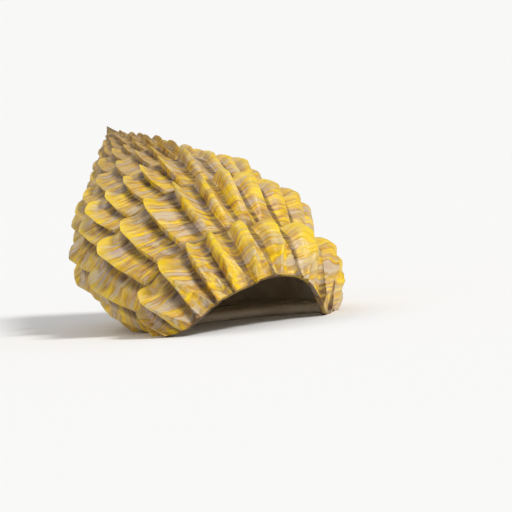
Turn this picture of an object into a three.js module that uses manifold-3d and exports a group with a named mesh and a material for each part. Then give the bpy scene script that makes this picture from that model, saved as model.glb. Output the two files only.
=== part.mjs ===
// Land snail shell: a domed coil of fluted whorls that rests mouth down.
// Millimetres, +Z up, origin at the middle of the bottom of its bounding box.
// +Y points from the mouth's arched front towards the apex, +X to the right of someone facing the arch.
import * as THREE from "three";
import { mergeVertices } from "three/addons/utils/BufferGeometryUtils.js";
import Module from "manifold-3d";

const wasm = await Module();
wasm.setup();

// Place and lean of the coiling axis
const APEX = new THREE.Vector3(-12.6, 26.5, 28.8);
const TIP_RISE = 1; // height of the worn tip over the coil's own apex, along the axis
const AXIS_RISE = THREE.MathUtils.degToRad(39); // the apex end points this far above level
const AXIS_TURN = THREE.MathUtils.degToRad(22.8); // and this far from +Y towards -X

// Growth law. A turn is counted from the top of the coil, and the mouth end has the highest number.
const FIRST_TURN = -4.5;
const LAST_TURN = 2.5;
const SHOULDER_DEPTH = 26.5; // shoulder's distance from the apex along the axis at turn 0
const DEPTH_RATE = 0.338; // growth of that distance for each turn
const DEPTH_SLOWING = 0.0158;
const SPIRE_SLOPE = 0.646; // radius gained for each millimetre of depth in the spire
const BODY_RADIUS = 20.9; // radius that the last whorls level off at
const BODY_SHARPNESS = 8; // how suddenly they level off
const SEAM_DEPTH = 1.207; // depth of a whorl's lower seam as a multiple of its shoulder's
const SEAM_WIDTH = 1.197; // its radius as a multiple of the shoulder's, at the apex
const SEAM_NARROWING = 0.00915; // what that multiple loses for each millimetre of depth
const BASE_DEPTH = 1.6; // depth of the point that closes the base as a multiple of the last shoulder's

// Rows of an outline: the lower seam, and the last one on the base
const SEAM_ROW = 4;
const BASE_ROW = 6;

// Flutes
const FLUTES_PER_TURN = 28;
const FLUTE_PHASE = 0.55; // part of a flute's pitch by which the first crest is moved round
const FLUTE_LEAN = 0.016; // turns that a flute's lower end lags behind its shoulder end
const FLUTE_HEIGHT = 2.3; // at the shoulder of the body whorl
const HOLLOW_SHARE = 0.925; // radius of the hollows between the flutes as a share of the shoulder's
// Crest, foot of the steep side and two places on the gentle side: place in the pitch, and height.
const FLUTE_STEPS = [
  { place: 0, relief: 1 },
  { place: 0.2, relief: 0.02 },
  { place: 0.5, relief: 0.17 },
  { place: 0.78, relief: 0.52 },
];

// Wall, mouth and underside
const LEAST_RADIUS = 0.1; // keeps an inset whorl from crossing the axis
const WALL = 1.5;
const INSET_DROP = 0.7; // the inside also lies this share of the wall further down the axis
const SHELF = 1.4; // thickness of the flat shelf that closes the back of the underside
const CAVITY_FIRST_TURN = -2.2; // the chamber's narrow end
const CAVITY_STEPS = 18; // flats in a turn of the smooth inside
// How the low left and right sides curve in under the shell: below a height, and past a distance
// from the middle
const TUCKS = [
  { sign: -1, height: 16, share: 0.38, middle: -2.2, softness: 5, power: 2.3 },
  { sign: 1, height: 10, share: 0.3, middle: 13.7, softness: 4, power: 1 },
];
// The arch in the front rim, between its two feet, and the place that it reaches back to
const ARCH = { left: -6.3, right: 17.9, crest: 10.6, height: 7.4, back: -15.8 };
// The mouth's oval outline in the underside
const MOUTH = { x: 6.2, y: -21.9, halfWidth: 15.5, halfLength: 17.5 };

const axis = new THREE.Vector3(
  -Math.sin(AXIS_TURN) * Math.cos(AXIS_RISE),
  Math.cos(AXIS_TURN) * Math.cos(AXIS_RISE),
  Math.sin(AXIS_RISE),
);
const top = new THREE.Vector3(0, 0, 1).addScaledVector(axis, -axis.z).normalize();
const side = top.clone().cross(axis);

// Distance of a whorl's shoulder from the apex, measured down the axis.
function shoulderDepth(turn) {
  return SHOULDER_DEPTH * Math.exp(DEPTH_RATE * turn - DEPTH_SLOWING * turn * turn);
}

function shoulderRadius(depth) {
  const cone = SPIRE_SLOPE * depth;
  return cone / (1 + (cone / BODY_RADIUS) ** BODY_SHARPNESS) ** (1 / BODY_SHARPNESS);
}

// Radius and depth of the seam under a whorl.
function lowerSeam(turn) {
  const depth = shoulderDepth(turn);
  return [shoulderRadius(depth) * (SEAM_WIDTH - SEAM_NARROWING * depth), SEAM_DEPTH * depth];
}

// One whorl's outline at a turn, from its upper seam over the shoulder to the lower seam and on
// round the base. Each point has its radius and depth, its share of the flutes' height, and how far
// down the flute it is, which sets how far it lags behind.
function outline(turn) {
  const [upperRadius, upperDepth] = lowerSeam(turn - 1);
  const depth = shoulderDepth(turn);
  const radius = shoulderRadius(depth) * HOLLOW_SHARE;
  const [seamRadius, seamDepth] = lowerSeam(turn);
  const mix = THREE.MathUtils.lerp;
  return [
    { radius: upperRadius, depth: upperDepth, relief: 0.15, down: 1 },
    { radius: mix(upperRadius, radius, 0.6), depth: mix(upperDepth, depth, 0.45), relief: 0.6, down: 0 },
    { radius, depth, relief: 1, down: 0 },
    { radius: mix(radius, seamRadius, 0.4), depth: mix(depth, seamDepth, 0.5), relief: 0.7, down: 0.5 },
    { radius: seamRadius, depth: seamDepth, relief: 0.15, down: 1 },
    { radius: seamRadius * 0.74, depth: seamDepth * 1.06, relief: 0.1, down: 1.3 },
    { radius: seamRadius * 0.2, depth: seamDepth * 1.09, relief: 0, down: 1.6 },
  ];
}

// A point at a radius and depth, in the part's own frame.
function place(turn, radius, depth) {
  const angle = 2 * Math.PI * turn;
  return APEX.clone()
    .addScaledVector(axis, -depth)
    .addScaledVector(top, radius * Math.cos(angle))
    .addScaledVector(side, radius * Math.sin(angle));
}

// Curves the low sides in under the shell.
function tuck(point) {
  const from = point.clone();
  for (const { sign, height, share, middle, softness, power } of TUCKS) {
    const low = THREE.MathUtils.clamp(1 - from.z / height, 0, 1) ** power;
    const past = sign * from.x - middle;
    point.x -= (sign * share * low * (past + Math.hypot(past, softness))) / 2;
  }
  return point;
}

// The coil as a closed solid. Every turn has the same steps, so a whorl's lower seam is the next
// whorl's upper seam and the whole coil is one surface. It is closed at the apex, and by a fan
// under the base. Its inset moves the surface inwards.
function coil(first, last, stepsPerTurn, reliefOfStep, inset) {
  const count = Math.round((last - first) * stepsPerTurn);
  const vertices = [];
  const addPoint = (point) => vertices.push(...tuck(point).toArray()) / 3 - 1;
  const columns = [];
  for (let i = 0; i <= count; i++) {
    const { turnPart, relief } = reliefOfStep(i);
    const turn = first + turnPart;
    columns.push(outline(turn).map((at, row) => {
      if (row === 0 && i >= stepsPerTurn) return columns[i - stepsPerTurn][SEAM_ROW];
      if (row > SEAM_ROW && i < count - stepsPerTurn) return null;
      const size = (FLUTE_HEIGHT * at.radius) / BODY_RADIUS;
      const out = relief * at.relief * size - inset;
      const radius = Math.max(at.radius + out, LEAST_RADIUS);
      return addPoint(place(turn - FLUTE_LEAN * at.down, radius, at.depth + inset * INSET_DROP));
    }));
  }
  const faces = [];
  for (let i = 0; i < count; i++) {
    const lastRow = i < count - stepsPerTurn ? SEAM_ROW : BASE_ROW;
    for (let row = 0; row < lastRow; row++) {
      const [a, b] = [columns[i][row], columns[i][row + 1]];
      const [c, d] = [columns[i + 1][row], columns[i + 1][row + 1]];
      faces.push(a, d, b, a, c, d);
    }
  }
  const fan = (tip, rim) => {
    for (let i = 0; i + 1 < rim.length; i++) faces.push(tip, rim[i + 1], rim[i]);
  };
  const firstDepth = inset * INSET_DROP - TIP_RISE;
  const firstRim = columns.slice(0, stepsPerTurn + 1).map((column) => column[0]);
  fan(addPoint(place(0, 0, firstDepth)), [...firstRim, ...columns[0].slice(0, SEAM_ROW).reverse()]);
  const [start, end] = [columns[count - stepsPerTurn], columns[count]];
  fan(start[SEAM_ROW + 1], [...end, start[BASE_ROW]]);
  const lastRim = columns.slice(count - stepsPerTurn).map((column) => column[BASE_ROW]);
  const baseRim = [start[BASE_ROW], ...lastRim.slice(1), start[BASE_ROW]].reverse();
  fan(addPoint(place(0, 0, shoulderDepth(last) * BASE_DEPTH)), baseRim);
  const geometry = new THREE.BufferGeometry();
  geometry.setAttribute("position", new THREE.Float32BufferAttribute(vertices, 3));
  geometry.setIndex(faces);
  return solid(geometry);
}

// Where a step of the fluted outside lies, in turns from the first, and how high the flute is there.
function flutedStep(i) {
  const { place: part, relief } = FLUTE_STEPS[i % FLUTE_STEPS.length];
  const flute = Math.floor(i / FLUTE_STEPS.length);
  return { turnPart: (flute + part + FLUTE_PHASE) / FLUTES_PER_TURN, relief };
}

function smoothStep(i) {
  return { turnPart: i / CAVITY_STEPS, relief: 0 };
}

// A closed three.js geometry as a manifold-3d solid.
function solid(geometry) {
  const bare = geometry.clone();
  bare.deleteAttribute("normal");
  bare.deleteAttribute("uv");
  const merged = mergeVertices(bare, 1e-4);
  return new wasm.Manifold(
    new wasm.Mesh({
      numProp: 3,
      vertProperties: new Float32Array(merged.attributes.position.array),
      triVerts: new Uint32Array(merged.index.array),
    }),
  );
}

function block(low, high) {
  const size = new THREE.Vector3().subVectors(high, low);
  const box = new THREE.BoxGeometry(size.x, size.y, size.z);
  box.translate(low.x + size.x / 2, low.y + size.y / 2, low.z + size.z / 2);
  return solid(box);
}

// The arch at the front that the animal's body comes out under.
function archTunnel() {
  const { left, right, crest, height } = ARCH;
  const shape = new THREE.Shape();
  shape.moveTo(left, -2);
  shape.lineTo(left, 0);
  shape.bezierCurveTo(left + 7, 2.2, crest - 8, height, crest, height);
  shape.bezierCurveTo(crest + 4.2, height, right - 2, 4.6, right, 0);
  shape.lineTo(right, -2);
  const tunnel = new THREE.ExtrudeGeometry(shape, { depth: 24, bevelEnabled: false, curveSegments: 10 });
  tunnel.rotateX(Math.PI / 2);
  tunnel.translate(0, ARCH.back, 0);
  return solid(tunnel);
}

// The mouth's outline in the underside, as a tall plug.
function mouthPlug() {
  const shape = new THREE.Shape();
  shape.absellipse(MOUTH.x, MOUTH.y, MOUTH.halfWidth, MOUTH.halfLength, 0, 2 * Math.PI, false);
  const plug = new THREE.ExtrudeGeometry(shape, { depth: 12, bevelEnabled: false, curveSegments: 14 });
  plug.translate(0, 0, -4);
  return solid(plug);
}

function makeShell() {
  const reach = 100;
  const above = (z) => block(new THREE.Vector3(-reach, -reach, z), new THREE.Vector3(reach, reach, reach));
  const steps = FLUTES_PER_TURN * FLUTE_STEPS.length;
  const outside = coil(FIRST_TURN, LAST_TURN, steps, flutedStep, 0).intersect(above(0));
  const inside = coil(CAVITY_FIRST_TURN, LAST_TURN, CAVITY_STEPS, smoothStep, WALL);
  const cavity = inside.intersect(above(SHELF).add(mouthPlug()));
  return outside.subtract(cavity).subtract(archTunnel());
}

function meshOf(made, name, material) {
  const { numProp, vertProperties, triVerts } = made.getMesh();
  const geometry = new THREE.BufferGeometry();
  geometry.setAttribute("position", new THREE.BufferAttribute(new Float32Array(vertProperties), numProp));
  geometry.setIndex(new THREE.BufferAttribute(new Uint32Array(triVerts), 1));
  const mesh = new THREE.Mesh(geometry, material);
  mesh.name = name;
  return mesh;
}

const shellMaterial = new THREE.MeshStandardMaterial({ color: 0xd9a514, roughness: 0.42, metalness: 0 });

const landSnailShell = new THREE.Group();
landSnailShell.add(meshOf(makeShell(), "shell", shellMaterial));

export default landSnailShell;
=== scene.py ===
import math

import bmesh
import bpy
from mathutils import Matrix, Vector


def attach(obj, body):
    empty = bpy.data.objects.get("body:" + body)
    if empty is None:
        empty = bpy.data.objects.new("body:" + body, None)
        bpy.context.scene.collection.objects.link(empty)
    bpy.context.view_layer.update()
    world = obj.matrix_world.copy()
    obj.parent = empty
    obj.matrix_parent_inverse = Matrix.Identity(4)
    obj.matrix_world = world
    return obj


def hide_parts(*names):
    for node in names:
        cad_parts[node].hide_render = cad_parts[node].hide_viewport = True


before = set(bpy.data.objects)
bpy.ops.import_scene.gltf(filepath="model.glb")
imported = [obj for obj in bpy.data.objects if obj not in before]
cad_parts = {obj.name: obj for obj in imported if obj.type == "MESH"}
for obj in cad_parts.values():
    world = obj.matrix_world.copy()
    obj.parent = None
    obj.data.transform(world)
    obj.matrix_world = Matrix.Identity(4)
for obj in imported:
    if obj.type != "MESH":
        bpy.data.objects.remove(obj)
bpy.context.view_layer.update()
MM = 0.001

# Place and lean of the coiling axis, as in the part's source
APEX = Vector((-12.6, 26.5, 28.8)) * MM
AXIS_RISE = math.radians(39)
AXIS_TURN = math.radians(22.8)

# Growth law. A turn is counted from the top of the coil, and the mouth end has the highest number.
FIRST_TURN = -6.0
LAST_TURN = 2.5
SHOULDER_DEPTH = 26.5 * MM
DEPTH_RATE = 0.338
DEPTH_SLOWING = 0.0158
SPIRE_SLOPE = 0.646
BODY_RADIUS = 20.9 * MM
BODY_SHARPNESS = 8
SEAM_DEPTH = 1.207  # depth of a whorl's lower seam as a multiple of its shoulder's
SEAM_WIDTH = 1.197  # its radius as a multiple of the shoulder's, at the apex
SEAM_NARROWING = 9.15  # what that multiple loses for each metre of depth
BASE_NARROWING = 0.8  # under the last whorl: share of the radius lost by the base's middle
BASE_SINKING = 0.09  # share of the depth that the base's middle adds
TIP_RISE = 1.0 * MM  # height of the worn tip over the coil's own apex, along the axis

# Flutes
HOLLOW_SHARE = 0.925  # radius of the hollows between the flutes as a share of the shoulder's
FLUTES_PER_TURN = 28.55
FLUTE_THINNING = 0.269  # flutes that the cube of the turn takes away
FLUTE_PHASE = 0.78  # the part of a flute by which the count starts late
FLUTE_LEAN = 0.016  # turns that a flute's ends lag behind its shoulder
FLUTE_HEIGHT = 2.3 * MM
FLUTE_SIZES = (0.1, 1.05)  # share of that height at the apex, and on the widest whorl
FLUTE_VARIES = (0.7, 1.2)  # least and greatest share that a flute may have of its own
NOSE_LIFT = 0.8 * MM  # how far a flute's head reaches up over the seam
UNDERCUT = 0.0068  # turns that a crest leans over the hollow beside it
HEAD_SLANT = 0.36  # how far a flute's head slopes down from its crest, as a share of the whorl
FLUTE_WANDER = 2.09  # unevenness of the flutes' spacing, in flutes
WANDER_RATE = 5.0  # uneven stretches in each turn
WANDER_START = 1166.37  # which stretch of the uneven run is used

# A flute's steep side faces left, and changes over to the right across this stretch of the width
CHANGE_START = -4 * MM
CHANGE_END = 9 * MM
CHANGE_POWER = 2.8  # the place in a flute is raised to this power, which puts its steep side last
CHANGED_UNDERCUT = -0.5  # share of the undercut, which leans the other way there

# Forked ridges under the last whorl's flutes, in turns along the coil and shares down the whorl
FORK_HEIGHT = 1.1 * MM
FORK_WHORL = (1.55, 1.75)
FORK_SPREADS = (0.42, 0.92)
FORK_STARTS = (0.4, 0.6)
FORK_ENDS = (0.98, 0.85)
FORK_SHARPNESS = 160.0

# Fineness of the surfaces
COLUMNS_PER_TURN = 420
ROWS = 25
BASE_ROWS = 9
INSIDE_COLUMNS_PER_TURN = 72
INSIDE_ROWS = 9
INSIDE_FIRST_TURN = -2.5
COLUMN_NUDGE = 0.0005  # of a column
HALF_COLUMN = 0.4999  # just under a half, so that two columns never take the same crest
HALF_WHORL = 0.499  # from a whorl's middle, as a share of it: leaves out the seam rows
WELD = 0.002 * MM  # points nearer than this are one
CREST_IS_SHARP = 0.15  # share of a flute's full height from which its crest is a sharp edge
CREST_PROFILE = 0.999  # only a flute's crest is higher than this in its profile
LOOK_AHEAD = 40  # two rims are compared a fortieth of their length on, to see which way they run

# Wall, and how the low sides curve in under the shell
WALL = 1.5 * MM
INSET_DROP = 0.7  # how far the inside also sinks along the axis, as a share of the wall
LEAST_RADIUS = 0.1 * MM
TUCK_HEIGHT = 16 * MM  # below this height the left side is drawn in
TUCK_SHARE = 0.38
TUCK_MIDDLE = 2.2 * MM
TUCK_SOFTNESS = 5 * MM
TUCK_POWER = 2.3
RIGHT_TUCK_HEIGHT = 10 * MM
RIGHT_TUCK_SHARE = 0.3
RIGHT_TUCK_MIDDLE = 13.7 * MM
RIGHT_TUCK_SOFTNESS = 4 * MM
RIGHT_TUCK_POWER = 1.0

# Arched rim in front, where the animal comes out
ARCH_LEFT = -6.3 * MM
ARCH_RIGHT = 18.1 * MM
ARCH_HEIGHT = 7.4 * MM
ARCH_BACK = -12.7 * MM  # behind this line the rim lies flat
ARCH_FRONT = -17.7 * MM  # in front of this one it is arched to its full height
RIM_FADES = (0.3 * MM, 2.6 * MM)  # heights over the arched rim between which flutes fade in
RIM_FADING = 0.9  # share of a flute that is lost at the arched rim
RIM_COUNTS = 2.0 * MM  # height of the arch from which that share is lost
RIM_UNDERCUT_FADES = (0.5 * MM, 3.5 * MM)
LIP_DROP = 0.35 * MM  # how far the lip's rounded edge hangs under its sides
LIP_ROWS = ((0.12, 0.6), (0.35, 1.0), (0.65, 0.9))  # share of the way in, and share of the drop
LIP_START = 0.2 * MM  # the drop grows from this height of the rim
LIP_GROWS = 1.2 * MM  # and is full this much higher

# Shelf across the back of the underside, and the mouth's oval in front of it
SHELF = 1.4 * MM
SHELF_SECTIONS = 60
SHELF_EDGE_STEPS = 6
SHELF_END_GAP = 0.01  # share of the rim's width that is left free at each end
SHELF_LEAST = 0.4 * MM  # sections shorter than this are left out
SHELF_OVERLAP = 0.7 * MM  # how far the shelf reaches into the wall
SHELF_LIFT = 0.04 * MM  # keeps its underside clear of the rim's
MOUTH_MIDDLE = Vector((6.2, -21.9)) * MM
MOUTH_HALF_WIDTH = 15.5 * MM
MOUTH_HALF_LENGTH = 17.5 * MM

# Curves by place down a whorl, from its upper seam at 0 to its lower seam at 1, the two ends first
UPPER_RADIUS = ((0, 1), (1, 0), (0.08, 0.74), (0.18, 0.34), (0.3, 0), (0.6, 0))
LOWER_RADIUS = ((0, 0), (1, 1), (0.3, 0), (0.48, 0.12), (0.66, 0.4), (0.85, 0.74))
UPPER_DEPTH = ((0, 1), (1, 0), (0.08, 0.84), (0.18, 0.5), (0.3, 0), (0.6, 0))
LOWER_DEPTH = ((0, 0), (1, 1), (0.15, 0), (0.3, 0), (0.65, 0.5))
FLUTE_LAG = ((0, 1), (1, 1), (0.12, 0.25), (0.28, 0), (0.5, 0.1), (0.75, 0.45))
FLUTE_RELIEF = (
    (0, 0), (1, 0), (0.06, 0.22), (0.14, 0.68), (0.22, 0.97), (0.3, 1), (0.44, 0.9), (0.68, 0.6),
    (0.86, 0.28),
)
FLUTE_NOSE = ((0, 0), (1, 0), (0.06, 0.5), (0.16, 1), (0.3, 0.7), (0.5, 0.2))
# From one crest to the next: down the steep side and up the gentle one
FLUTE_PROFILE = (
    (0, 1), (1, 1), (0.04, 0.84), (0.11, 0.3), (0.19, 0.02), (0.36, 0.06), (0.58, 0.24), (0.78, 0.52),
    (0.93, 0.9),
)
# Height of the rim's arch from its left foot to its right one
ARCH_CURVE = (
    (0, 0), (1, 0), (0.13, 0.16), (0.19, 0.31), (0.27, 0.5), (0.36, 0.69), (0.44, 0.8), (0.52, 0.88),
    (0.66, 1), (0.76, 0.97), (0.83, 0.87), (0.9, 0.7), (0.95, 0.48),
)

# Colours of the shell
YELLOW = "#fad600"
GOLD = "#e2b003"
OCHRE = "#bc8414"
BROWN_GOLD = "#9a6f22"
GREY_TAN = "#c6b59c"
LILAC_TAN = "#b8a29c"
# Dark brown, painted as shade into the creases and seams
SHADE_BROWN = "#3f2410"
APEX_BROWN = "#a98550"
PAPER = "#f4f3f1"
ROOM = "#f7f8fb"

# Bands: how often they repeat across a flute, down it, and from one flute to the next
BROAD_BANDS = (0.5, 8.0, 1.0)
FINE_BANDS = (1.1, 22.0, 1.0)
BAND_SHIFT = 7.3  # step from one flute's stretch of the bands to the next one's
BAND_TILT = 0.07  # how far a band drops across a flute, as a share of the whorl
BAND_WAVER = 0.12
GROWTH_LINES = 9  # in each flute

# Patterns that don't follow the flutes, for each metre of the shell
WAVER_SCALE = 260.0  # waves of about 4 mm
PATCH_SCALE = 110.0  # patches of about 9 mm that break up the painted crest highlight
FLECK_SCALE = 800.0  # flecks of about 1 mm
CLOUD_SCALE = 120.0  # clouds of about 8 mm
GRAIN_SCALE = 900.0  # grains of about 1 mm, coarser than the real ones so that they show

# Gloss and relief of the finishes
ARAGONITE_IOR = 1.55
SKIN_ROUGHNESS = (0.48, 0.36)  # in the grey bands, and in the yellow ones
SKIN_COAT = 0.12
SKIN_COAT_ROUGHNESS = 0.22
SKIN_SPECULAR = 0.35
BAND_RELIEF = 0.4 * MM
LINE_RELIEF = 0.03  # of a growth line, as a share of that
LINING_ROUGHNESS = (0.34, 0.24)
GRAIN_RELIEF = 0.05 * MM
PAPER_ROUGHNESS = 0.9

# Shades of the broad and the fine bands, by the value of the pattern that lays them
BROAD_STOPS = (
    (0.3, LILAC_TAN), (0.4, GREY_TAN), (0.44, BROWN_GOLD), (0.47, OCHRE), (0.52, GOLD), (0.56, YELLOW),
    (0.62, OCHRE), (0.66, GREY_TAN),
)
FINE_STOPS = ((0.3, BROWN_GOLD), (0.4, OCHRE), (0.47, GREY_TAN), (0.55, GOLD), (0.66, YELLOW))
LINING_STOPS = ((0.3, "#c9b49a"), (0.5, "#dccbb0"), (0.7, "#e6dcc8"))

# Light: a bright room, a soft sun from the upper right in front, and a weak one from behind on the left.
# Each sun has the direction that it comes from, its softness in degrees and its power.
ROOM_LIGHT = 0.5
SUNS = (("key", (0.3, -0.34, 0.42), 14, 2.25), ("back", (-0.25, 0.3, 0.4), 30, 0.5))

# Camera: a long lens from nearly level with the shell
CAMERA_RIGHT = Vector((0.99443, -0.00738, -0.10510))
CAMERA_UP = Vector((0.10536, 0.06968, 0.99199))
LENS_MM = 500
SENSOR_MM = 36
VIEW_WIDTH = 76.8 * MM  # what the view spans at the point that it looks at
AIM_FROM_APEX = Vector((20.48, -1.52, -21.63)) * MM
AIM_NEARER = 30 * MM  # and this much further towards the camera

# Kinds of node
MATH = "ShaderNodeMath"
VECTOR_MATH = "ShaderNodeVectorMath"
COMBINE = "ShaderNodeCombineXYZ"
SEPARATE = "ShaderNodeSeparateXYZ"
CURVE = "ShaderNodeFloatCurve"
NOISE = "ShaderNodeTexNoise"
MAP = "ShaderNodeMapRange"
MIX = "ShaderNodeMix"
RAMP = "ShaderNodeValToRGB"
BUMP = "ShaderNodeBump"
GROUP = "GeometryNodeGroup"
STORE = "GeometryNodeStoreNamedAttribute"


def linear(hex_colour):
    """A colour from its sRGB hex value, in the linear values that shaders take."""
    parts = [int(hex_colour[i : i + 2], 16) / 255 for i in (1, 3, 5)]
    return [p / 12.92 if p <= 0.04045 else ((p + 0.055) / 1.055) ** 2.4 for p in parts] + [1.0]


def add(tree, kind, *values, named=None, points=None, stops=None, **settings):
    """Adds a node with its settings, and fills its inputs in order or by name.

    A node or socket is linked, a hex colour is made linear, and any other value is set. A curve is
    given as points, first the two ends, and a colour ramp as stops of place and hex colour.
    """
    node = tree.nodes.new(kind)
    for name, setting in settings.items():
        setattr(node, name, setting)
    if points:
        curve = node.mapping.curves[0]
        for place, point in zip(points[:2], curve.points):
            point.location = place
        for place in points[2:]:
            curve.points.new(*place)
        node.mapping.update()
    if stops:
        elements = node.color_ramp.elements
        elements.remove(elements[1])
        elements[0].position = stops[0][0]
        elements[0].color = linear(stops[0][1])
        for place, hex_colour in stops[1:]:
            elements.new(place).color = linear(hex_colour)
    free = [socket for socket in node.inputs if socket.enabled]
    pairs = list(zip(free, values))
    pairs += [(socket, named[socket.name]) for socket in free if socket.name in (named or {})]
    for socket, value in pairs:
        if value is None:
            continue
        if isinstance(value, bpy.types.Node):
            value = next(output for output in value.outputs if output.enabled)
        if isinstance(value, bpy.types.NodeSocket):
            tree.links.new(value, socket)
        elif isinstance(value, str) and value.startswith("#"):
            socket.default_value = linear(value)
        else:
            socket.default_value = value
    return node


def new_tree(name, inputs, outputs):
    """An empty geometry tree with named inputs and outputs, and its input and output nodes."""
    tree = bpy.data.node_groups.new(name, "GeometryNodeTree")
    for socket_name, kind, default in inputs:
        socket = tree.interface.new_socket(socket_name, in_out="INPUT", socket_type="NodeSocket" + kind)
        if default is not None:
            socket.default_value = default
    for socket_name, kind in outputs:
        tree.interface.new_socket(socket_name, in_out="OUTPUT", socket_type="NodeSocket" + kind)
    return tree, tree.nodes.new("NodeGroupInput").outputs, tree.nodes.new("NodeGroupOutput").inputs


def growth_law():
    """Tree: radius and depth of a whorl's shoulder and of the seam under it, at a turn."""
    tree, given, result = new_tree(
        "growth law",
        [
            ("Turn", "Float", 0.0),
            ("Shoulder depth", "Float", SHOULDER_DEPTH),
            ("Depth rate", "Float", DEPTH_RATE),
            ("Depth slowing", "Float", DEPTH_SLOWING),
            ("Spire slope", "Float", SPIRE_SLOPE),
            ("Body radius", "Float", BODY_RADIUS),
            ("Body sharpness", "Float", float(BODY_SHARPNESS)),
        ],
        [("Radius", "Float"), ("Depth", "Float"), ("Seam radius", "Float"), ("Seam depth", "Float")],
    )
    turn = given["Turn"]
    grown = add(tree, MATH, turn, given["Depth rate"], operation="MULTIPLY")
    squared = add(tree, MATH, turn, turn, operation="MULTIPLY")
    slowed = add(tree, MATH, squared, given["Depth slowing"], operation="MULTIPLY")
    power = add(tree, MATH, grown, slowed, operation="SUBTRACT")
    swell = add(tree, MATH, power, operation="EXPONENT")
    depth = add(tree, MATH, swell, given["Shoulder depth"], operation="MULTIPLY")
    cone = add(tree, MATH, depth, given["Spire slope"], operation="MULTIPLY")
    share = add(tree, MATH, cone, given["Body radius"], operation="DIVIDE")
    raised = add(tree, MATH, share, given["Body sharpness"], operation="POWER")
    levelled = add(tree, MATH, raised, 1.0, operation="ADD")
    root = add(tree, MATH, -1.0, given["Body sharpness"], operation="DIVIDE")
    cut_back = add(tree, MATH, levelled, root, operation="POWER")
    radius = add(tree, MATH, cone, cut_back, operation="MULTIPLY")
    hollow_radius = add(tree, MATH, radius, HOLLOW_SHARE, operation="MULTIPLY")
    narrowing = add(tree, MATH, depth, -SEAM_NARROWING, SEAM_WIDTH, operation="MULTIPLY_ADD")
    seam_radius = add(tree, MATH, radius, narrowing, operation="MULTIPLY")
    seam_depth = add(tree, MATH, depth, SEAM_DEPTH, operation="MULTIPLY")
    for socket, value in zip(result, (hollow_radius, depth, seam_radius, seam_depth)):
        tree.links.new(value.outputs[0], socket)
    return tree


def leaning_place():
    """Tree: the point at a turn, radius and depth, with the low sides curved in under the shell."""
    tree, given, result = new_tree(
        "leaning place",
        [
            ("Turn", "Float", 0.0),
            ("Radius", "Float", 0.0),
            ("Depth", "Float", 0.0),
            ("Left height", "Float", TUCK_HEIGHT),
            ("Left share", "Float", TUCK_SHARE),
            ("Left middle", "Float", -TUCK_MIDDLE),
            ("Left softness", "Float", TUCK_SOFTNESS),
            ("Left power", "Float", TUCK_POWER),
            ("Right height", "Float", RIGHT_TUCK_HEIGHT),
            ("Right share", "Float", RIGHT_TUCK_SHARE),
            ("Right middle", "Float", RIGHT_TUCK_MIDDLE),
            ("Right softness", "Float", RIGHT_TUCK_SOFTNESS),
            ("Right power", "Float", RIGHT_TUCK_POWER),
        ],
        [("Point", "Vector")],
    )
    axis = axis_direction()
    top = (Vector((0, 0, 1)) - axis * axis.z).normalized()
    side = top.cross(axis)
    angle = add(tree, MATH, given["Turn"], 2 * math.pi, operation="MULTIPLY")
    cosine = add(tree, MATH, angle, operation="COSINE")
    sine = add(tree, MATH, angle, operation="SINE")
    along_top = add(tree, MATH, cosine, given["Radius"], operation="MULTIPLY")
    along_side = add(tree, MATH, sine, given["Radius"], operation="MULTIPLY")
    down_axis = add(tree, MATH, given["Depth"], -1.0, operation="MULTIPLY")
    point = tuple(APEX)
    for direction, distance in ((axis, down_axis), (top, along_top), (side, along_side)):
        step = add(tree, VECTOR_MATH, tuple(direction), distance, operation="SCALE")
        point = add(tree, VECTOR_MATH, point, step, operation="ADD")
    place = add(tree, SEPARATE, point)
    new_x = place.outputs["X"]
    for hand, sign in (("Left", -1.0), ("Right", 1.0)):
        lowness = add(tree, MATH, place.outputs["Z"], given[hand + " height"], operation="DIVIDE")
        below = add(tree, MATH, 1.0, lowness, operation="SUBTRACT")
        clamped = add(tree, "ShaderNodeClamp", below, 0.0, 1.0)
        low = add(tree, MATH, clamped, given[hand + " power"], operation="POWER")
        outward = add(tree, MATH, place.outputs["X"], sign, operation="MULTIPLY")
        past = add(tree, MATH, outward, given[hand + " middle"], operation="SUBTRACT")
        past_squared = add(tree, MATH, past, past, operation="MULTIPLY")
        soft = given[hand + " softness"]
        soft_squared = add(tree, MATH, soft, soft, operation="MULTIPLY")
        together = add(tree, MATH, past_squared, soft_squared, operation="ADD")
        length = add(tree, MATH, together, operation="SQRT")
        reach = add(tree, MATH, past, length, operation="ADD")
        strength = add(tree, MATH, low, given[hand + " share"], operation="MULTIPLY")
        inward = add(tree, MATH, reach, -sign / 2, operation="MULTIPLY")
        new_x = add(tree, MATH, inward, strength, new_x, operation="MULTIPLY_ADD")
    tucked = add(tree, COMBINE, new_x, place.outputs["Y"], place.outputs["Z"])
    tree.links.new(tucked.outputs[0], result["Point"])
    return tree


def axis_direction():
    """The coil's axis, pointing out of the apex."""
    level = math.cos(AXIS_RISE)
    return Vector((-math.sin(AXIS_TURN) * level, math.cos(AXIS_TURN) * level, math.sin(AXIS_RISE)))


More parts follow.
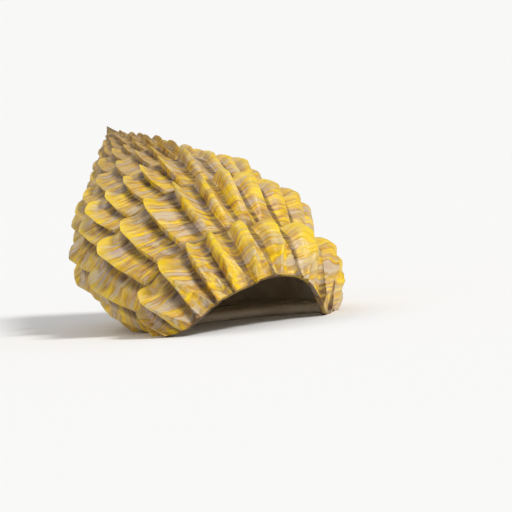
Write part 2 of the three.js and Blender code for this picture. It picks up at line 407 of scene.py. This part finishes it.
def flute_count():
    """Tree: how many flutes there are up to a turn, with their uneven spacing."""
    tree, given, result = new_tree(
        "flute count",
        [
            ("Turn", "Float", 0.0),
            ("Flutes per turn", "Float", FLUTES_PER_TURN),
            ("Flute thinning", "Float", FLUTE_THINNING),
            ("Flute phase", "Float", FLUTE_PHASE),
            ("Wander", "Float", FLUTE_WANDER),
            ("Wander rate", "Float", WANDER_RATE),
            ("Wander start", "Float", WANDER_START),
        ],
        [("Flute", "Float")],
    )
    cubed = add(tree, MATH, given["Turn"], 3.0, operation="POWER")
    thinned = add(tree, MATH, cubed, given["Flute thinning"], operation="MULTIPLY")
    counted = add(tree, MATH, given["Turn"], given["Flutes per turn"], operation="MULTIPLY")
    number = add(tree, MATH, counted, thinned, operation="SUBTRACT")
    rate, start = given["Wander rate"], given["Wander start"]
    run = add(tree, MATH, given["Turn"], rate, start, operation="MULTIPLY_ADD")
    run_values = {"W": run, "Scale": 1.0, "Detail": 1.0, "Roughness": 0.5}
    wander = add(tree, NOISE, named=run_values, noise_dimensions="1D")
    centred = add(tree, MATH, wander, 0.5, operation="SUBTRACT")
    wandering = add(tree, MATH, centred, given["Wander"], operation="MULTIPLY")
    even = add(tree, MATH, number, given["Flute phase"], operation="SUBTRACT")
    flute = add(tree, MATH, even, wandering, operation="ADD")
    tree.links.new(flute.outputs[0], result["Flute"])
    return tree


def fluted_coil():
    """Tree: the whorls as a grid that follows the growth law, with a crest at each whole flute number."""
    tree, given, result = new_tree(
        "fluted coil",
        [
            ("Geometry", "Geometry", None),
            ("Columns per turn", "Int", COLUMNS_PER_TURN),
            ("Rows", "Int", ROWS),
            ("First turn", "Float", FIRST_TURN),
            ("Last turn", "Float", LAST_TURN),
            ("First row", "Float", 0.0),
            ("Last row", "Float", 1.0),
            ("Flute lean", "Float", FLUTE_LEAN),
            ("Flute height", "Float", FLUTE_HEIGHT),
            ("Nose lift", "Float", NOSE_LIFT),
            ("Undercut", "Float", UNDERCUT),
            ("Head slant", "Float", HEAD_SLANT),
            ("Fork height", "Float", FORK_HEIGHT),
            ("Inset", "Float", 0.0),
            ("Seed", "Int", 7),
            ("Material", "Material", None),
        ],
        [("Geometry", "Geometry")],
    )
    law, leaning = growth_law(), leaning_place()
    turns = add(tree, MATH, given["Last turn"], given["First turn"], operation="SUBTRACT")
    last_column = add(tree, MATH, turns, given["Columns per turn"], operation="MULTIPLY")
    columns = add(tree, MATH, last_column, 1.0, operation="ADD")
    grid = add(tree, "GeometryNodeMeshGrid", 1.0, 1.0, columns, given["Rows"])

    # A point's turn, and how far down the whorl it is: 0 at the upper seam and 1 at the lower.
    # The nudge keeps a column's first point from being rounded into the column before.
    index = add(tree, "GeometryNodeInputIndex")
    over_rows = add(tree, MATH, index, given["Rows"], operation="DIVIDE")
    nudged = add(tree, MATH, over_rows, COLUMN_NUDGE, operation="ADD")
    column = add(tree, MATH, nudged, operation="FLOOR")
    before = add(tree, MATH, column, given["Rows"], operation="MULTIPLY")
    row = add(tree, MATH, index, before, operation="SUBTRACT")
    last_row = add(tree, MATH, given["Rows"], 1.0, operation="SUBTRACT")
    row_share = add(tree, MATH, row, last_row, operation="DIVIDE")
    down = add(tree, MAP, row_share, 0.0, 1.0, given["First row"], given["Last row"])
    column_turns = add(tree, MATH, column, given["Columns per turn"], operation="DIVIDE")
    even_turn = add(tree, MATH, column_turns, given["First turn"], operation="ADD")

    # The column nearest to each crest is moved onto it, except at the seams, which whorls share
    count = flute_count()
    column_turn = add(tree, MATH, 1.0, given["Columns per turn"], operation="DIVIDE")
    turn_before = add(tree, MATH, even_turn, column_turn, operation="SUBTRACT")
    turn_after = add(tree, MATH, even_turn, column_turn, operation="ADD")
    flute_before = add(tree, GROUP, turn_before, node_tree=count)
    flute_here = add(tree, GROUP, even_turn, node_tree=count)
    flute_after = add(tree, GROUP, turn_after, node_tree=count)
    nearest = add(tree, MATH, flute_here, operation="ROUND")
    to_crest = add(tree, MATH, nearest, flute_here, operation="SUBTRACT")
    gap_after = add(tree, MATH, flute_after, flute_here, operation="SUBTRACT")
    gap_before = add(tree, MATH, flute_here, flute_before, operation="SUBTRACT")
    ahead = add(tree, MATH, to_crest, 0.0, operation="GREATER_THAN")
    gap = add(tree, MIX, ahead, gap_before, gap_after, data_type="FLOAT")
    columns_off = add(tree, MATH, to_crest, gap, operation="DIVIDE")
    distance_off = add(tree, MATH, columns_off, operation="ABSOLUTE")
    at_crest = add(tree, MATH, distance_off, HALF_COLUMN, operation="LESS_THAN")
    flute = add(tree, MATH, to_crest, at_crest, flute_here, operation="MULTIPLY_ADD")
    from_middle = add(tree, MATH, down, 0.5, operation="SUBTRACT")
    from_middle_size = add(tree, MATH, from_middle, operation="ABSOLUTE")
    off_seams = add(tree, MATH, from_middle_size, HALF_WHORL, operation="LESS_THAN")
    moving = add(tree, MATH, at_crest, off_seams, operation="MULTIPLY")
    columns_moved = add(tree, MATH, columns_off, moving, operation="MULTIPLY")
    turn = add(tree, MATH, columns_moved, column_turn, even_turn, operation="MULTIPLY_ADD")
    turn_above = add(tree, MATH, turn, 1.0, operation="SUBTRACT")

    # The whorl's outline: shares of the upper seam, the shoulder and the lower seam
    here = add(tree, GROUP, turn, node_tree=law)
    above = add(tree, GROUP, turn_above, node_tree=law)
    outline = []
    for shoulder, seam, upper_curve, lower_curve in (
        ("Radius", "Seam radius", UPPER_RADIUS, LOWER_RADIUS),
        ("Depth", "Seam depth", UPPER_DEPTH, LOWER_DEPTH),
    ):
        upper = add(tree, CURVE, 1.0, down, points=upper_curve)
        lower = add(tree, CURVE, 1.0, down, points=lower_curve)
        to_upper = add(tree, MATH, above.outputs[seam], here.outputs[shoulder], operation="SUBTRACT")
        to_lower = add(tree, MATH, here.outputs[seam], here.outputs[shoulder], operation="SUBTRACT")
        towards = add(tree, MATH, to_upper, upper, here.outputs[shoulder], operation="MULTIPLY_ADD")
        outline.append(add(tree, MATH, to_lower, lower, towards, operation="MULTIPLY_ADD"))
    past_seam = add(tree, MATH, down, 1.0, operation="SUBTRACT")
    base = add(tree, MATH, past_seam, 0.0, operation="MAXIMUM")
    base_narrows = add(tree, MATH, base, -BASE_NARROWING, 1.0, operation="MULTIPLY_ADD")
    base_sinks = add(tree, MATH, base, BASE_SINKING, 1.0, operation="MULTIPLY_ADD")
    radius = add(tree, MATH, outline[0], base_narrows, operation="MULTIPLY")
    depth = add(tree, MATH, outline[1], base_sinks, operation="MULTIPLY")

    # How far each end of a flute lags behind its shoulder
    lag = add(tree, CURVE, 1.0, down, points=FLUTE_LAG)
    lagging = add(tree, MATH, lag, given["Flute lean"], operation="MULTIPLY")
    lean_turn = add(tree, MATH, turn, lagging, operation="SUBTRACT")

    # The inside surface, or the outside one before it is fluted
    smooth_radius = add(tree, MATH, radius, given["Inset"], operation="SUBTRACT")
    kept_radius = add(tree, MATH, smooth_radius, LEAST_RADIUS, operation="MAXIMUM")
    smooth_depth = add(tree, MATH, given["Inset"], INSET_DROP, depth, operation="MULTIPLY_ADD")
    smooth = add(tree, GROUP, lean_turn, kept_radius, smooth_depth, node_tree=leaning)
    smooth_x, smooth_y, smooth_z = add(tree, SEPARATE, smooth).outputs

    # Height of the arched rim over the floor, which flutes fade towards
    span = add(tree, MAP, smooth_x, ARCH_LEFT, ARCH_RIGHT, 0.0, 1.0)
    arch_share = add(tree, CURVE, 1.0, span, points=ARCH_CURVE)
    front = add(tree, MAP, smooth_y, ARCH_BACK, ARCH_FRONT, 0.0, ARCH_HEIGHT, interpolation_type="SMOOTHSTEP")
    arch = add(tree, MATH, arch_share, front, operation="MULTIPLY")
    over_rim = add(tree, MATH, smooth_z, arch, operation="SUBTRACT")
    near_rim = add(tree, MAP, over_rim, *RIM_FADES, 1.0, 0.0, interpolation_type="SMOOTHSTEP")
    arched = add(tree, MAP, arch, 0.0, RIM_COUNTS, 0.0, RIM_FADING)
    fading = add(tree, MATH, near_rim, arched, operation="MULTIPLY")
    kept = add(tree, MATH, 1.0, fading, operation="SUBTRACT")

    # A point's place in its flute, counted from the crest behind it, and its height in the flute
    in_flute = add(tree, MATH, flute, operation="FRACT")
    side_power = add(tree, MAP, smooth_x, CHANGE_START, CHANGE_END, 1.0, CHANGE_POWER)
    in_profile = add(tree, MATH, in_flute, side_power, operation="POWER")
    profile = add(tree, CURVE, 1.0, in_profile, points=FLUTE_PROFILE)
    vary = add(tree, "FunctionNodeRandomValue", *FLUTE_VARIES, nearest, given["Seed"], data_type="FLOAT")
    off_crest = add(tree, MATH, 1.0, profile, operation="SUBTRACT")
    not_down = add(tree, MATH, 1.0, down, operation="SUBTRACT")
    slant = add(tree, MATH, off_crest, given["Head slant"], operation="MULTIPLY")
    slanting = add(tree, MATH, slant, not_down, operation="MULTIPLY")
    slanted = add(tree, MATH, down, slanting, operation="SUBTRACT")
    relief = add(tree, CURVE, 1.0, slanted, points=FLUTE_RELIEF)
    nose = add(tree, CURVE, 1.0, down, points=FLUTE_NOSE)
    size = add(tree, MAP, radius, 0.0, BODY_RADIUS, *FLUTE_SIZES)
    strength = add(tree, MATH, size, vary, operation="MULTIPLY")
    shaped = add(tree, MATH, strength, profile, operation="MULTIPLY")
    faded = add(tree, MATH, shaped, kept, operation="MULTIPLY")
    raised = add(tree, MATH, faded, relief, operation="MULTIPLY")
    height = add(tree, MATH, raised, given["Flute height"], operation="MULTIPLY")
    lifting = add(tree, MATH, faded, nose, operation="MULTIPLY")
    lift = add(tree, MATH, lifting, given["Nose lift"], operation="MULTIPLY")
    full_undercut = add(tree, MATH, raised, given["Undercut"], operation="MULTIPLY")
    side_undercut = add(tree, MAP, smooth_x, CHANGE_START, CHANGE_END, 1.0, CHANGED_UNDERCUT)
    sided_undercut = add(tree, MATH, full_undercut, side_undercut, operation="MULTIPLY")
    off_rim = add(tree, MAP, over_rim, *RIM_UNDERCUT_FADES, 0.0, 1.0)
    undercut = add(tree, MATH, sided_undercut, off_rim, operation="MULTIPLY")

    # Under the last whorl's shoulder each crest forks towards its neighbours
    whole = add(tree, MATH, flute, nearest, operation="SUBTRACT")
    aside = add(tree, MATH, whole, operation="ABSOLUTE")
    spread = add(tree, MAP, down, *FORK_SPREADS, 0.0, 0.5)
    from_fork = add(tree, MATH, aside, spread, operation="SUBTRACT")
    fork_squared = add(tree, MATH, from_fork, from_fork, operation="MULTIPLY")
    fork_falls = add(tree, MATH, fork_squared, -FORK_SHARPNESS, operation="MULTIPLY")
    fork = add(tree, MATH, fork_falls, operation="EXPONENT")
    for along, limits in ((down, FORK_STARTS), (down, FORK_ENDS), (turn, FORK_WHORL)):
        share = add(tree, MAP, along, *limits, 0.0, 1.0, interpolation_type="SMOOTHSTEP")
        fork = add(tree, MATH, fork, share, operation="MULTIPLY")
    fork_height = add(tree, MATH, fork, given["Fork height"], operation="MULTIPLY")
    with_fork = add(tree, MATH, height, fork_height, operation="ADD")

    # The fluted surface. It is lowered by the arch here, so that one level cut makes the arched rim.
    fluted_turn = add(tree, MATH, lean_turn, undercut, operation="ADD")
    fluted_radius = add(tree, MATH, kept_radius, with_fork, operation="ADD")
    fluted_depth = add(tree, MATH, smooth_depth, lift, operation="SUBTRACT")
    fluted = add(tree, GROUP, fluted_turn, fluted_radius, fluted_depth, node_tree=leaning)
    drop = add(tree, COMBINE, 0.0, 0.0, arch)
    dropped = add(tree, VECTOR_MATH, fluted, drop, operation="SUBTRACT")

    # Kept on the mesh: the arch's height, the place along and down the whorls, and the flute's height
    growth = add(tree, COMBINE, turn, down, flute)
    at_points = add(tree, "GeometryNodeFieldOnDomain", growth, data_type="FLOAT_VECTOR", domain="POINT")
    ridge = add(tree, COMBINE, profile, raised, 0.0)
    stored = add(tree, STORE, grid, None, "arch", arch, data_type="FLOAT", domain="POINT")
    stored = add(tree, STORE, stored, None, "growth", at_points, data_type="FLOAT_VECTOR", domain="CORNER")
    stored = add(tree, STORE, stored, None, "ridge", ridge, data_type="FLOAT_VECTOR", domain="POINT")
    placed = add(tree, "GeometryNodeSetPosition", stored, None, dropped)
    realised = add(tree, "GeometryNodeRealizeInstances", placed)
    finished = add(tree, "GeometryNodeSetMaterial", realised, None, given["Material"])
    tree.links.new(finished.outputs[0], result["Geometry"])
    return tree


def grown(tree, settings):
    """The mesh that the coil's tree makes with these named inputs, as a bmesh."""
    holder = bpy.data.objects.new("holder", bpy.data.meshes.new("holder"))
    bpy.context.scene.collection.objects.link(holder)
    modifier = holder.modifiers.new("coil", "NODES")
    modifier.node_group = tree
    for item in tree.interface.items_tree:
        if item.item_type == "SOCKET" and item.in_out == "INPUT" and item.name in settings:
            modifier[item.identifier] = settings[item.name]
    bpy.context.view_layer.update()
    depsgraph = bpy.context.evaluated_depsgraph_get()
    mesh = bpy.data.meshes.new_from_object(holder.evaluated_get(depsgraph), depsgraph=depsgraph)
    holder.modifiers.clear()
    bpy.data.objects.remove(holder)
    made = bmesh.new()
    made.from_mesh(mesh)
    bpy.data.meshes.remove(mesh)
    return made


def open_loops(made):
    """The open edges of a mesh as loops of vertices in order."""
    following = {}
    for edge in made.edges:
        if edge.is_boundary:
            for vertex in edge.verts:
                following.setdefault(vertex, []).append(edge.other_vert(vertex))
    loops = []
    while following:
        start = next(iter(following))
        loop = [start]
        before, here = None, start
        while True:
            ahead = [v for v in following.pop(here) if v is not before and (v in following or v is start)]
            if not ahead or ahead[0] is start:
                break
            before, here = here, ahead[0]
            loop.append(here)
        loops.append(loop)
    return sorted(loops, key=len, reverse=True)


def join(made, other):
    """Adds the other surface to the first one."""
    mesh = bpy.data.meshes.new("joined")
    other.to_mesh(mesh)
    other.free()
    made.from_mesh(mesh)
    bpy.data.meshes.remove(mesh)


def cut_coil(tree, settings, base_settings):
    """A coil's surface with its whorls and base joined, cut off along the floor and the arched rim."""
    whorls = grown(tree, settings)
    join(whorls, grown(tree, {**settings, **base_settings}))
    bmesh.ops.remove_doubles(whorls, verts=whorls.verts, dist=WELD)
    bmesh.ops.bisect_plane(
        whorls,
        geom=whorls.verts[:] + whorls.edges[:] + whorls.faces[:],
        dist=2 * WELD,
        plane_co=(0, 0, 0),
        plane_no=(0, 0, 1),
        clear_inner=True,
    )
    arch = whorls.verts.layers.float["arch"]
    for vertex in whorls.verts:
        vertex.co.z += vertex[arch]
    keep_largest(whorls)
    return whorls


def keep_largest(made):
    """Leaves only the largest connected surface."""
    left = set(made.verts)
    islands = []
    while left:
        island = {left.pop()}
        edge_of = list(island)
        while edge_of:
            vertex = edge_of.pop()
            for edge in vertex.link_edges:
                other = edge.other_vert(vertex)
                if other in left:
                    left.discard(other)
                    island.add(other)
                    edge_of.append(other)
        islands.append(island)
    islands.sort(key=len)
    for island in islands[:-1]:
        bmesh.ops.delete(made, geom=list(island), context="VERTS")


def close_with_point(made, loop, point):
    """Closes an open loop with a fan of triangles to a new point."""
    tip = made.verts.new(point)
    for one, other in zip(loop, loop[1:] + loop[:1]):
        made.faces.new((one, other, tip))


def zip_loops(made, first, second):
    """Joins two loops that run side by side with a strip of triangles, once both run the same way."""
    start = min(range(len(second)), key=lambda i: (second[i].co - first[0].co).length)
    second = second[start:] + second[:start]
    ahead = len(second) // LOOK_AHEAD + 1
    ahead_on_first = first[len(first) // LOOK_AHEAD + 1].co
    if (second[ahead].co - ahead_on_first).length > (second[-ahead].co - ahead_on_first).length:
        second = [second[0]] + second[:0:-1]
    first, second = first + first[:1], second + second[:1]
    i = j = 0
    while i < len(first) - 1 or j < len(second) - 1:
        one, other = first[i], second[j]
        if j == len(second) - 1:
            step_first = True
        elif i == len(first) - 1:
            step_first = False
        else:
            step_first = (first[i + 1].co - other.co).length < (second[j + 1].co - one.co).length
        if step_first:
            i += 1
            made.faces.new((one, other, first[i]))
        else:
            j += 1
            made.faces.new((one, other, second[j]))


def bridge_rings(made, rings):
    """Joins each closed ring of vertices to the next one with quads, which it returns."""
    faces = []
    for ring, following in zip(rings, rings[1:]):
        for k in range(len(ring)):
            after = (k + 1) % len(ring)
            faces.append(made.faces.new((ring[k], ring[after], following[after], following[k])))
    return faces


def close_rim(made):
    """Joins the outside and the inside along the rim, with a rounded lip where the rim is arched."""
    outer, inner = open_loops(made)[:2]
    inner_points = [v.co.copy() for v in inner]
    rings = [outer]
    for share, drop in LIP_ROWS:
        ring = []
        for vertex in outer:
            near = min(inner_points, key=lambda point: (point - vertex.co).length_squared)
            point = vertex.co.lerp(near, share)
            arched = min(1.0, max(0.0, (vertex.co.z - LIP_START) / LIP_GROWS))
            point.z = max(0.0, point.z - LIP_DROP * drop * arched)
            ring.append(made.verts.new(point))
        rings.append(ring)
    bridge_rings(made, rings)
    zip_loops(made, rings[-1], inner)


def add_shelf(made, rim):
    """The flat shelf that closes the back of the underside, with a rounded edge along the mouth.

    It is made of sections across the depth, from left to right, each a ring of points.
    """
    middle = sum((v.co for v in rim), Vector()) / len(rim)
    ring = [v.co + (v.co - middle).normalized() * SHELF_OVERLAP for v in rim]

    def crossings(x):
        """Least and greatest y of the ring at this x."""
        ys = []
        for one, other in zip(ring, ring[1:] + ring[:1]):
            if (one.x - x) * (other.x - x) < 0:
                share = (x - one.x) / (other.x - one.x)
                ys.append(one.y + share * (other.y - one.y))
        return (min(ys), max(ys)) if ys else None

    left = min(point.x for point in ring)
    right = max(point.x for point in ring)
    sections = []
    for k in range(SHELF_SECTIONS + 1):
        x = left + (right - left) * (SHELF_END_GAP + (1 - 2 * SHELF_END_GAP) * k / SHELF_SECTIONS)
        found = crossings(x)
        if not found:
            continue
        low, high = found
        across = (x - MOUTH_MIDDLE.x) / MOUTH_HALF_WIDTH
        mouth_edge = MOUTH_MIDDLE.y
        if abs(across) < 1:
            mouth_edge += MOUTH_HALF_LENGTH * math.sqrt(1 - across * across)
        low = max(low, mouth_edge)
        if high - low > SHELF_LEAST:
            sections.append((x, low, high))
    rings = []
    round_off = (SHELF - SHELF_LIFT) / 2
    for x, low, high in sections:
        ring = [(high, SHELF_LIFT), (low + round_off, SHELF_LIFT)]
        for k in range(1, SHELF_EDGE_STEPS):
            angle = math.pi * k / SHELF_EDGE_STEPS
            outward, upward = 1 - math.sin(angle), 1 - math.cos(angle)
            ring.append((low + round_off * outward, SHELF_LIFT + round_off * upward))
        ring += [(low + round_off, SHELF), (high, SHELF)]
        rings.append([made.verts.new((x, y, z)) for y, z in ring])
    faces = bridge_rings(made, rings)
    faces.append(made.faces.new(rings[0]))
    faces.append(made.faces.new(rings[-1][::-1]))
    return faces


def make_shell(outer_material, lining):
    """The whole shell as one mesh: fluted outside, smooth inside, rounded rim and shelf."""
    coil = fluted_coil()
    base_rows = {"First turn": LAST_TURN - 1, "First row": 1.0, "Last row": 2.0, "Rows": BASE_ROWS}
    outside = cut_coil(coil, {}, base_rows)
    close_with_point(outside, open_loops(outside)[1], APEX + axis_direction() * TIP_RISE)
    inside_settings = {
        "Columns per turn": INSIDE_COLUMNS_PER_TURN,
        "Rows": INSIDE_ROWS,
        "First turn": INSIDE_FIRST_TURN,
        "Flute height": 0.0,
        "Nose lift": 0.0,
        "Undercut": 0.0,
        "Fork height": 0.0,
        "Inset": WALL,
    }
    inside = cut_coil(coil, inside_settings, base_rows)
    top_loop = open_loops(inside)[1]
    middle = sum((v.co for v in top_loop), Vector()) / len(top_loop)
    close_with_point(inside, top_loop, middle)
    for face in inside.faces:
        face.material_index = 1
    join(outside, inside)
    lined = add_shelf(outside, open_loops(outside)[1])
    close_rim(outside)
    for face in lined:
        face.material_index = 1
    bmesh.ops.recalc_face_normals(outside, faces=outside.faces[:])
    for face in outside.faces:
        face.smooth = True
    ridge = outside.verts.layers.float_vector["ridge"]
    for edge in outside.edges:
        on_crest = all(v[ridge].x > CREST_PROFILE and v[ridge].y > CREST_IS_SHARP for v in edge.verts)
        edge.smooth = not on_crest
    mesh = bpy.data.meshes.new("snail_shell")
    outside.to_mesh(mesh)
    outside.free()
    mesh.materials.append(outer_material)
    mesh.materials.append(lining)
    shell = bpy.data.objects.new("snail_shell", mesh)
    bpy.context.scene.collection.objects.link(shell)
    return shell


def new_material(name):
    """A material with only a principled shader and its output."""
    material = bpy.data.materials.new(name)
    material.use_nodes = True
    tree = material.node_tree
    tree.nodes.clear()
    output = tree.nodes.new("ShaderNodeOutputMaterial")
    shader = tree.nodes.new("ShaderNodeBsdfPrincipled")
    tree.links.new(shader.outputs[0], output.inputs["Surface"])
    return material, tree, shader


def aragonite_shell():
    """Aragonite snail shell under a thin horny skin: opaque, satin, in wavy bands laid across each flute."""
    material, tree, shader = new_material("aragonite_shell")
    growth = add(tree, "ShaderNodeAttribute", attribute_name="growth")
    ridge = add(tree, "ShaderNodeAttribute", attribute_name="ridge")
    turn, down, flute = add(tree, SEPARATE, growth.outputs["Vector"]).outputs
    profile = add(tree, SEPARATE, ridge.outputs["Vector"]).outputs["X"]
    body = add(tree, "ShaderNodeTexCoord").outputs["Object"]

    # Bands cross each flute, break at its crest and waver by about half a millimetre
    flute_number = add(tree, MATH, flute, operation="FLOOR")
    own_shift = add(tree, MATH, flute_number, BAND_SHIFT, operation="MULTIPLY")
    in_flute = add(tree, MATH, flute, operation="FRACT")
    tilted = add(tree, MATH, in_flute, BAND_TILT, down, operation="MULTIPLY_ADD")
    waver = add(tree, NOISE, body, named={"Scale": WAVER_SCALE, "Detail": 2.0, "Roughness": 0.5})
    wavering = add(tree, MATH, waver, 0.5, operation="SUBTRACT")
    wavy = add(tree, MATH, wavering, BAND_WAVER, tilted, operation="MULTIPLY_ADD")
    band_place = add(tree, COMBINE, flute, wavy, own_shift)
    broad_place = add(tree, VECTOR_MATH, band_place, BROAD_BANDS, operation="MULTIPLY")
    broad_values = {"Scale": 1.0, "Detail": 2.0, "Roughness": 0.5, "Distortion": 0.3}
    broad = add(tree, NOISE, broad_place, named=broad_values)
    fine_place = add(tree, VECTOR_MATH, band_place, FINE_BANDS, operation="MULTIPLY")
    fine_values = {"Scale": 1.0, "Detail": 3.0, "Roughness": 0.6, "Distortion": 0.4}
    fine = add(tree, NOISE, fine_place, named=fine_values)
    broad_colour = add(tree, RAMP, broad, stops=BROAD_STOPS)
    fine_colour = add(tree, RAMP, fine, stops=FINE_STOPS)
    banded = add(tree, MIX, 0.35, broad_colour, fine_colour, data_type="RGBA")

    # The horny skin is worn to a grey bloom in small flecks
    flecks = add(tree, NOISE, body, named={"Scale": FLECK_SCALE, "Detail": 3.0, "Roughness": 0.6})
    worn = add(tree, MAP, flecks, 0.48, 0.66, 0.0, 0.4)
    flecked = add(tree, MIX, worn, banded, GREY_TAN, data_type="RGBA")

    # Painted highlight: crests are painted a clean yellow in patches, most of all near the flutes' heads
    patches = add(tree, NOISE, body, named={"Scale": PATCH_SCALE, "Detail": 2.0, "Roughness": 0.5})
    crest = add(tree, MAP, profile, 0.45, 1.0, 0.0, 0.95)
    upper = add(tree, MAP, down, 0.8, 0.15, 0.15, 1.0)
    patchy = add(tree, MAP, patches, 0.4, 0.6, 0.2, 1.0)
    crest_upper = add(tree, MATH, crest, upper, operation="MULTIPLY")
    crest_highlight = add(tree, MATH, crest_upper, patchy, operation="MULTIPLY")
    # The yellow painted highlight is mixed onto the crests here
    with_crest_highlight = add(tree, MIX, crest_highlight, flecked, YELLOW, data_type="RGBA")

    # Painted shade: the foot of each flute and the seams between whorls are darkened with brown where the
    # creases lie in shade. The oldest whorls are browner
    foot = add(tree, MAP, profile, 0.02, 0.24, 0.95, 0.0, interpolation_type="SMOOTHSTEP")
    upper_seam = add(tree, MAP, down, 0.0, 0.12, 1.0, 0.0, interpolation_type="SMOOTHSTEP")
    lower_seam = add(tree, MAP, down, 0.9, 1.0, 0.0, 0.9, interpolation_type="SMOOTHSTEP")
    seams = add(tree, MATH, upper_seam, lower_seam, operation="MAXIMUM")
    crease_shade_mask = add(tree, MATH, foot, seams, operation="MAXIMUM")
    uneven = add(tree, MAP, fine, 0.3, 0.65, 1.0, 0.5)
    shaded = add(tree, MATH, crease_shade_mask, uneven, operation="MULTIPLY")
    # The dark brown painted shade is mixed in here
    with_crease_shade = add(tree, MIX, shaded, with_crest_highlight, SHADE_BROWN, data_type="RGBA")
    young = add(tree, MAP, turn, 0.0, -2.6, 0.0, 0.6)
    aged = add(tree, MIX, young, with_crease_shade, APEX_BROWN, data_type="RGBA")
    final_colour = next(output for output in aged.outputs if output.enabled)
    tree.links.new(final_colour, shader.inputs["Base Color"])

    # Satin, a little duller in the grey bands and in the hollows
    roughness = add(tree, MAP, broad, 0.35, 0.65, *SKIN_ROUGHNESS)
    duller = add(tree, MATH, crease_shade_mask, 0.2, roughness, operation="MULTIPLY_ADD")
    tree.links.new(duller.outputs[0], shader.inputs["Roughness"])
    shader.inputs["IOR"].default_value = ARAGONITE_IOR
    shader.inputs["Specular IOR Level"].default_value = SKIN_SPECULAR
    shader.inputs["Coat Weight"].default_value = SKIN_COAT
    shader.inputs["Coat Roughness"].default_value = SKIN_COAT_ROUGHNESS

    # Bands stand about a tenth of a millimetre proud, and finer growth lines run down each flute
    lines = add(tree, MATH, flute, 2 * math.pi * GROWTH_LINES, operation="MULTIPLY")
    line_wave = add(tree, MATH, lines, operation="SINE")
    surface = add(tree, MATH, broad, 1.6, fine, operation="MULTIPLY_ADD")
    lined = add(tree, MATH, line_wave, LINE_RELIEF, surface, operation="MULTIPLY_ADD")
    bump = add(tree, BUMP, named={"Strength": 0.8, "Distance": BAND_RELIEF, "Height": lined})
    tree.links.new(bump.outputs[0], shader.inputs["Normal"])
    return material


def porcellaneous_lining():
    """Porcellaneous lining of the inside and the shelf: smooth, pale and faintly glossy."""
    material, tree, shader = new_material("porcellaneous_lining")
    body = add(tree, "ShaderNodeTexCoord").outputs["Object"]
    cloud_values = {"Scale": CLOUD_SCALE, "Detail": 4.0, "Roughness": 0.55, "Distortion": 0.8}
    clouds = add(tree, NOISE, body, named=cloud_values)
    colour = add(tree, RAMP, clouds, stops=LINING_STOPS)
    tree.links.new(colour.outputs["Color"], shader.inputs["Base Color"])
    roughness = add(tree, MAP, clouds, 0.3, 0.7, *LINING_ROUGHNESS)
    tree.links.new(roughness.outputs[0], shader.inputs["Roughness"])
    shader.inputs["IOR"].default_value = ARAGONITE_IOR
    grain = add(tree, NOISE, body, named={"Scale": GRAIN_SCALE, "Detail": 3.0, "Roughness": 0.5})
    bump = add(tree, BUMP, named={"Strength": 0.25, "Distance": GRAIN_RELIEF, "Height": grain})
    tree.links.new(bump.outputs[0], shader.inputs["Normal"])
    return material


shell = make_shell(aragonite_shell(), porcellaneous_lining())
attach(shell, "root")
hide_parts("shell")

# Floor: a pale sheet of matt paper, six metres across
floor_mesh = bpy.data.meshes.new("floor")
floor_mesh.from_pydata([(-3, -3, 0), (3, -3, 0), (3, 3, 0), (-3, 3, 0)], [], [(0, 1, 2, 3)])
floor = bpy.data.objects.new("floor", floor_mesh)
bpy.context.scene.collection.objects.link(floor)
floor_material, _, floor_shader = new_material("matt_paper")
floor_shader.inputs["Base Color"].default_value = linear(PAPER)
floor_shader.inputs["Roughness"].default_value = PAPER_ROUGHNESS
floor_mesh.materials.append(floor_material)

# Light
world = bpy.data.worlds.new("studio")
bpy.context.scene.world = world
world.use_nodes = True
world.node_tree.nodes["Background"].inputs["Color"].default_value = linear(ROOM)
world.node_tree.nodes["Background"].inputs["Strength"].default_value = ROOM_LIGHT
for name, place, softness, power in SUNS:
    lamp = bpy.data.lights.new(name, "SUN")
    lamp.angle = math.radians(softness)
    lamp.energy = power
    light = bpy.data.objects.new(name, lamp)
    light.rotation_mode = "QUATERNION"
    light.rotation_quaternion = Vector(place).to_track_quat("Z", "Y")
    bpy.context.scene.collection.objects.link(light)

# Camera
camera_back = CAMERA_RIGHT.cross(CAMERA_UP)
camera_data = bpy.data.cameras.new("camera")
camera_data.lens = LENS_MM
camera_data.sensor_width = SENSOR_MM
distance = VIEW_WIDTH * LENS_MM / SENSOR_MM
aim = APEX + AIM_FROM_APEX + camera_back * AIM_NEARER
camera = bpy.data.objects.new("camera", camera_data)
camera.rotation_mode = "QUATERNION"
camera.location = aim + camera_back * distance
camera.rotation_quaternion = Matrix((CAMERA_RIGHT, CAMERA_UP, camera_back)).transposed().to_quaternion()
camera_data.clip_start = 0.05
camera_data.clip_end = 20
bpy.context.scene.collection.objects.link(camera)
bpy.context.scene.camera = camera
bpy.context.scene.view_settings.view_transform = "Standard"
